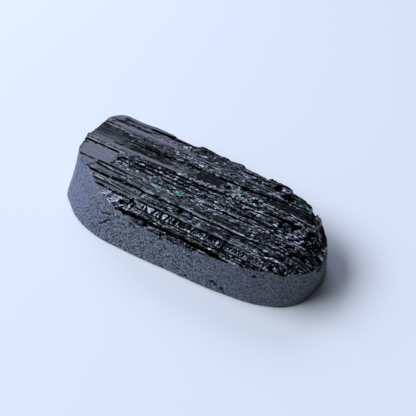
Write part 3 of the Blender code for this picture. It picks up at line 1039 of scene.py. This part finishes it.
def ground_material(values):
    """Matte blue-grey ground stone with worm-like speckle, dark and pale specks, painted light at its left
    end, and painted shade on its right part and in its dents, pits, cracks and foot.
    """
    base = tuple(values.ground_colour)
    material, tree, shader = new_material("black_tourmaline_ground", base)
    dark, light, worn, painted_shade, pale = (
        tuple(value * part for value, part in zip(base, parts)) for parts in GROUND_SHADES
    )
    at = stretched(tree, 1.0, 1.0, 1.0)
    grain = speckle(tree, at, 1.0)
    worms = grain["Worms"]
    x = add_node(tree, "ShaderNodeSeparateXYZ", {"Vector": at}).outputs["X"]
    # Painted light and shade: the left end is made paler and bluer, as lit from the left, and the right
    # part darker
    painted_light_leftward = times(tree, remap(tree, x, -8.0, -21.0), 0.6)
    painted_shade_rightward = remap(tree, x, 3.0, 15.0, 0.0, 0.5)
    broad = remap(tree, noise(tree, at, 0.7, 2.0, 0.5), 0.45, 0.65, 0.0, 0.35)
    smoother = maths(tree, "ADD", painted_light_leftward, broad)
    # worn stands for worn places and for the painted light at the left end
    colour = blend(tree, smoother, blend(tree, worms, dark, light), worn)
    colour = blend(tree, painted_shade_rightward, colour, painted_shade)
    colour = blend(tree, times(tree, grain["Specks"], 0.5), colour, pale)
    # Painted shade in dents, pits, cracks and along the foot, and the dark torn end, turn black and
    # metallic
    shade_and_torn_level = remap(tree, mask_nodes(tree, "shade_and_torn")[0], 0.15, 0.6)
    smoother = maths(tree, "ADD", smoother, times(tree, painted_shade_rightward, 0.5))
    deep = times(tree, remap(tree, worms, 0.0, 0.5, 0.65, 0.0), remap(tree, smoother, 0.0, 0.5, 1.0, 0.3))
    fill(tree, shader, {
        "IOR": GROUND_IOR,
        "Base Color": blend(tree, shade_and_torn_level, colour, BLACK),
        "Metallic": most(tree, deep, times(tree, shade_and_torn_level, DARKEST)),
        "Roughness": remap(tree, worms, 0.0, 1.0, 0.6, 0.45),
        "Normal": bump(tree, grain["Height"], 1.0, 0.06),
    })
    return material


def floor_material(values):
    """Plain pale matte floor."""
    base = tuple(values.floor_colour)
    material, tree, shader = new_material("studio_floor", base)
    fill(tree, shader, {"Base Color": (*base, 1.0), "Roughness": 0.9, "Specular IOR Level": 0.1})
    return material


# ---- stage

# The camera, fitted to the photo
CAMERA_AT = (28.83 * MM, -38.69 * MM, 51.36 * MM)
CAMERA_TARGET = (1.156 * MM, 4.581 * MM, 0.0)
SENSOR = 36.0

CLIP = (0.001, 10.0)

# Directions on the floor: to the picture's right, and away from the camera. The last is where the
# surrounding light is brightest.
IMAGE_RIGHT = Vector((0.842, 0.539, 0.0))
IMAGE_BACK = Vector((-0.539, 0.842, 0.0))
WORLD_TOWARD = tuple((IMAGE_BACK * 0.55 - IMAGE_RIGHT + Vector((0.0, 0.0, -0.35))).normalized())

# Soft boxes: name, degrees round from the picture's left towards the back, degrees up, distance,
# width, height, brightness, colour
SOFT_BOXES = (
    ("key_light", 9.0, 43.0, 1.2, 0.94, 0.62, 9.9, (0.70, 0.80, 1.0)),
    ("back_light", 88.0, 42.0, 1.0, 0.7, 0.44, 2.6, (0.62, 0.7, 1.0)),
)


def aim(item, target):
    """Turn a lamp or a camera to a place."""
    item.rotation_euler = (Vector(target) - item.location).to_track_quat("-Z", "Y").to_euler()


def soft_box(name, turn, rise, distance, width, height, brightness, colour):
    """Add one rectangular lamp that looks at the stone."""
    lamp = bpy.data.lights.new(name, "AREA")
    lamp.shape = "RECTANGLE"
    lamp.size = width
    lamp.size_y = height
    lamp.energy = brightness * math.pi * width * height
    lamp.color = colour
    item = add_object(name, lamp)
    turn, rise = math.radians(turn), math.radians(rise)
    level = -IMAGE_RIGHT * math.cos(turn) + IMAGE_BACK * math.sin(turn)
    item.location = (level * math.cos(rise) + Vector((0.0, 0.0, math.sin(rise)))) * distance
    aim(item, (0.0, 0.0, 0.0))


def studio_world(values):
    """Surrounding light, bright on the camera's left and dim on its right."""
    world = bpy.data.worlds.new("studio")
    world.use_nodes = True
    tree = world.node_tree
    way = {0: add_node(tree, "ShaderNodeTexCoord").outputs["Generated"], 1: WORLD_TOWARD}
    toward = add_node(tree, "ShaderNodeVectorMath", way, operation="DOT_PRODUCT").outputs["Value"]
    near = maths(tree, "POWER", remap(tree, toward, -0.6, 1.0), 2.0)
    level = remap(tree, near, 0.0, 1.0, values.world_right, values.world_left)
    fill(tree, tree.nodes["Background"], {"Strength": level, "Color": (*values.light_colour, 1.0)})
    bpy.context.scene.world = world


def build_stage(values):
    """Build the floor, the surrounding light, the lamps and the camera."""
    corners = np.array([(-0.5, -0.5, 0.0), (0.5, -0.5, 0.0), (0.5, 0.5, 0.0), (-0.5, 0.5, 0.0)])
    floor = new_mesh("studio_floor", corners * values.floor_size, [[0, 1, 2, 3]])
    floor.data.materials.append(floor_material(values))
    studio_world(values)
    for row in SOFT_BOXES:
        soft_box(*row)
    lens = bpy.data.cameras.new("photo_angle")
    lens.lens = values.lens
    lens.sensor_width = SENSOR
    lens.clip_start, lens.clip_end = CLIP
    camera = add_object("photo_angle", lens)
    camera.location = CAMERA_AT
    aim(camera, CAMERA_TARGET)
    bpy.context.scene.camera = camera
    bpy.context.scene.view_settings.view_transform = "Standard"


# ---- add-on

class StoneValues(bpy.types.PropertyGroup):
    """Sizes and colours of the stone"""

    rib_pitch: FloatProperty(
        name="Rib pitch", description="Usual distance from one rib to the next",
        default=0.62 * MM, min=0.2 * MM, max=3.0 * MM, unit="LENGTH", precision=5,
    )
    rib_rise: FloatProperty(
        name="Rib lean", description="Rise of a rib from front to back, as a share of its width",
        default=0.1, min=0.0, max=0.5, subtype="FACTOR",
    )
    cleft_width: FloatProperty(
        name="Cleft width", description="Width of the clefts, as a share of their full width",
        default=0.62, min=0.1, max=1.5, subtype="FACTOR",
    )
    tooth_pitch: FloatProperty(
        name="Cross crack pitch", description="Distance between the coarse cross cracks",
        default=0.78 * MM, min=0.2 * MM, max=3.0 * MM, unit="LENGTH", precision=5,
    )
    grain_size: FloatProperty(
        name="Grain size", description="Width of the broken grains across the ribs",
        default=0.27 * MM, min=0.1 * MM, max=2.0 * MM, unit="LENGTH", precision=5,
    )
    foot_bevel: FloatProperty(
        name="Foot bevel", description="Height of the small bevel round the underside",
        default=0.22 * MM, min=0.02 * MM, max=1.0 * MM, unit="LENGTH", precision=5,
    )
    crystal_colour: FloatVectorProperty(
        name="Crystal colour", description="Body colour of the natural face",
        default=(0.006, 0.0065, 0.0085), subtype="COLOR", min=0.0, max=1.0,
    )
    # Colour of the whitish grain, which also serves as painted glints
    frost_and_glint_colour: FloatVectorProperty(
        name="Broken grain colour", description="Colour of crushed, whitish grain",
        default=(0.88, 0.93, 1.0), subtype="COLOR", min=0.0, max=1.0,
    )
    teal_colour: FloatVectorProperty(
        name="Teal stain", description="Colour of the teal stained grain",
        default=(0.17, 0.88, 0.72), subtype="COLOR", min=0.0, max=1.0,
    )
    amber_colour: FloatVectorProperty(
        name="Amber stain", description="Colour of the brownish stained grain",
        default=(0.3, 0.26, 0.14), subtype="COLOR", min=0.0, max=1.0,
    )
    ground_colour: FloatVectorProperty(
        name="Ground side colour", description="Colour of the ground side and underside",
        default=(0.085, 0.095, 0.125), subtype="COLOR", min=0.0, max=1.0,
    )


class StageValues(bpy.types.PropertyGroup):
    """Size and colour of the floor, the lens and the surrounding light"""

    floor_size: FloatProperty(
        name="Floor size", description="Length of each side of the square floor",
        default=3.0, min=0.2, unit="LENGTH", precision=5,
    )
    lens: FloatProperty(
        name="Lens", description="Focal length of the camera",
        default=38.94, min=10.0, unit="CAMERA",
    )
    floor_colour: FloatVectorProperty(
        name="Floor colour", description="Colour of the plain floor",
        default=(0.94, 0.93, 0.88), subtype="COLOR", min=0.0, max=1.0,
    )
    light_colour: FloatVectorProperty(
        name="Surrounding colour", description="Colour of the surrounding light",
        default=(0.68, 0.76, 1.0), subtype="COLOR", min=0.0, max=1.0,
    )
    world_left: FloatProperty(
        name="Left brightness", description="Surrounding light on the left", default=1.1, min=0.0,
    )
    world_right: FloatProperty(
        name="Right brightness", description="Surrounding light on the right", default=0.03, min=0.0,
    )


class STONE_OT_crystal(bpy.types.Operator):
    """Build the ribbed crystal"""

    bl_idname = "stone.crystal"
    bl_label = "Build crystal"

    def execute(self, context):
        stone = build_crystal(context.scene.stone_values)
        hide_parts(SOLID)
        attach(stone, "root")
        return {"FINISHED"}


class STONE_OT_stage(bpy.types.Operator):
    """Build the floor, the lights and the camera"""

    bl_idname = "stone.stage"
    bl_label = "Build stage"

    def execute(self, context):
        build_stage(context.scene.stage_values)
        return {"FINISHED"}


class STONE_PT_panel(bpy.types.Panel):
    """The stone's values and its two build buttons"""

    bl_label = "Stone"
    bl_idname = "STONE_PT_panel"
    bl_space_type = "VIEW_3D"
    bl_region_type = "UI"
    bl_category = "Stone"

    def draw(self, context):
        for group, operator in (("stone_values", "stone.crystal"), ("stage_values", "stone.stage")):
            box = self.layout.box()
            values = getattr(context.scene, group)
            for name in values.bl_rna.properties.keys():
                if name not in {"rna_type", "name"}:
                    box.prop(values, name)
            box.operator(operator)


CLASSES = (StoneValues, StageValues, STONE_OT_crystal, STONE_OT_stage, STONE_PT_panel)


def register():
    for item in CLASSES:
        bpy.utils.register_class(item)
    bpy.types.Scene.stone_values = PointerProperty(type=StoneValues)
    bpy.types.Scene.stage_values = PointerProperty(type=StageValues)


def unregister():
    del bpy.types.Scene.stage_values
    del bpy.types.Scene.stone_values
    for item in reversed(CLASSES):
        bpy.utils.unregister_class(item)


def main():
    """Build the stone and its stage."""
    register()
    bpy.ops.stone.crystal()
    bpy.ops.stone.stage()


if __name__ == "__main__":
    main()
